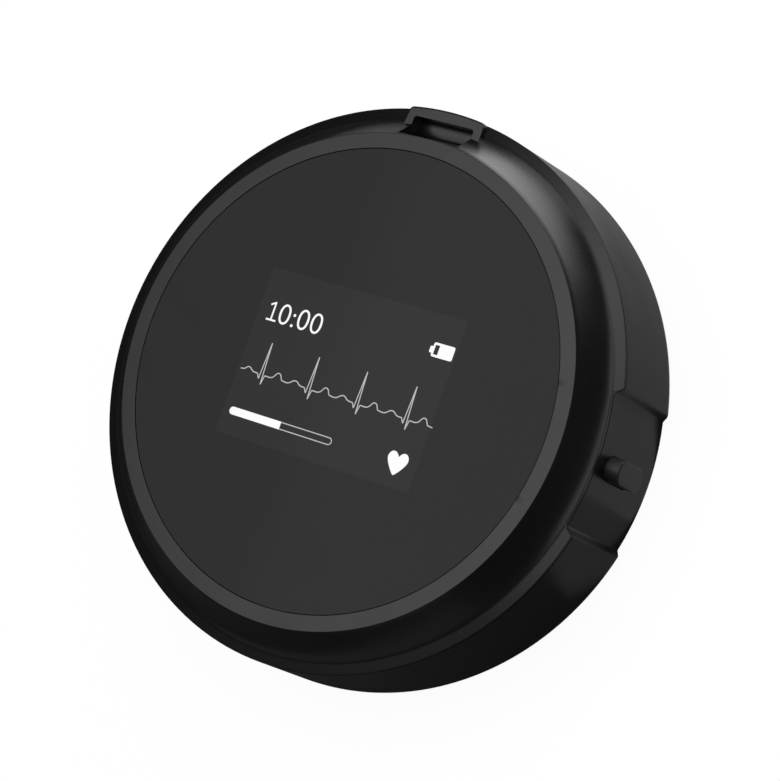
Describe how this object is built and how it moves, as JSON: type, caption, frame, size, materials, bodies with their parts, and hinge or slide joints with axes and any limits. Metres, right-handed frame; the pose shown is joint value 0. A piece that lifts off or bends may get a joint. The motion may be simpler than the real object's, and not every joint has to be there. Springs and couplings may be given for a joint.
{
  "type": "ecg home monitor",
  "caption": "Round pocket heart monitor: black two-part case with a flat lens, a sprung side button in a recess, a lanyard bar at the top and metal skin contacts on the back.",
  "frame": {"origin": "centre of the bounding box on the back face, which is also the case's own axis", "axes": "+Z comes out of the screen, +Y points to the lanyard bar at the top of the picture, +X points to the side button"},
  "size_m": [0.063, 0.063, 0.0168],
  "materials": {
    "black_plastic": "satin",
    "button_plastic": "satin",
    "lens_plastic": "smooth",
    "adhesive": "matte",
    "foam": "matte",
    "screen": "polished",
    "carrier_plastic": "matte",
    "flex_film": "satin",
    "cream_plastic": "matte",
    "circuit_board": "satin",
    "chip_plastic": "matte",
    "shield_metal": "satin",
    "component_ceramic": "matte",
    "rubber_seal": "matte",
    "pouch_foil": "satin",
    "strip_tape": "satin",
    "red_insulation": "satin",
    "black_insulation": "satin",
    "electrode_steel": "satin",
    "gold_plating": "polished",
    "insert_brass": "satin",
    "screw_steel": "satin"
  },
  "bodies": {
    "housing": {"front_bezel": "black_plastic", "lens": "lens_plastic", "lens_tape": "adhesive", "display_gasket": "foam", "display_panel": "screen", "display_frame": "carrier_plastic", "display_flex": "flex_film", "display_connector": "cream_plastic", "main_board": "circuit_board", "processor_chip": "chip_plastic", "ecg_amplifier_chip": "chip_plastic", "memory_chip": "chip_plastic", "radio_module": "shield_metal", "charger_chip": "chip_plastic", "crystal": "shield_metal", "board_passives": "component_ceramic", "buzzer": "chip_plastic", "switch_body": "chip_plastic", "battery_cell": "pouch_foil", "battery_protection_board": "strip_tape", "battery_pad": "foam", "battery_lead_red": "red_insulation", "battery_lead_black": "black_insulation", "battery_connector": "cream_plastic", "electrode_upper": "electrode_steel", "electrode_left": "electrode_steel", "electrode_right": "electrode_steel", "contact_pins": "gold_plating", "charging_contacts": "gold_plating", "rear_case": "black_plastic", "case_gasket": "rubber_seal", "threaded_inserts": "insert_brass", "case_screws": "screw_steel"},
    "button": {"side_button": "button_plastic", "switch_plunger": "cream_plastic", "button_seal": "rubber_seal"}
  },
  "joints": [
    {"name": "button_press", "type": "slide", "parent": "housing", "child": "button", "axis": [-1, 0, 0], "range_m": [0, 0.0006], "stiffness_N_per_m": 2500, "springref_m": -0.0004}
  ]
}
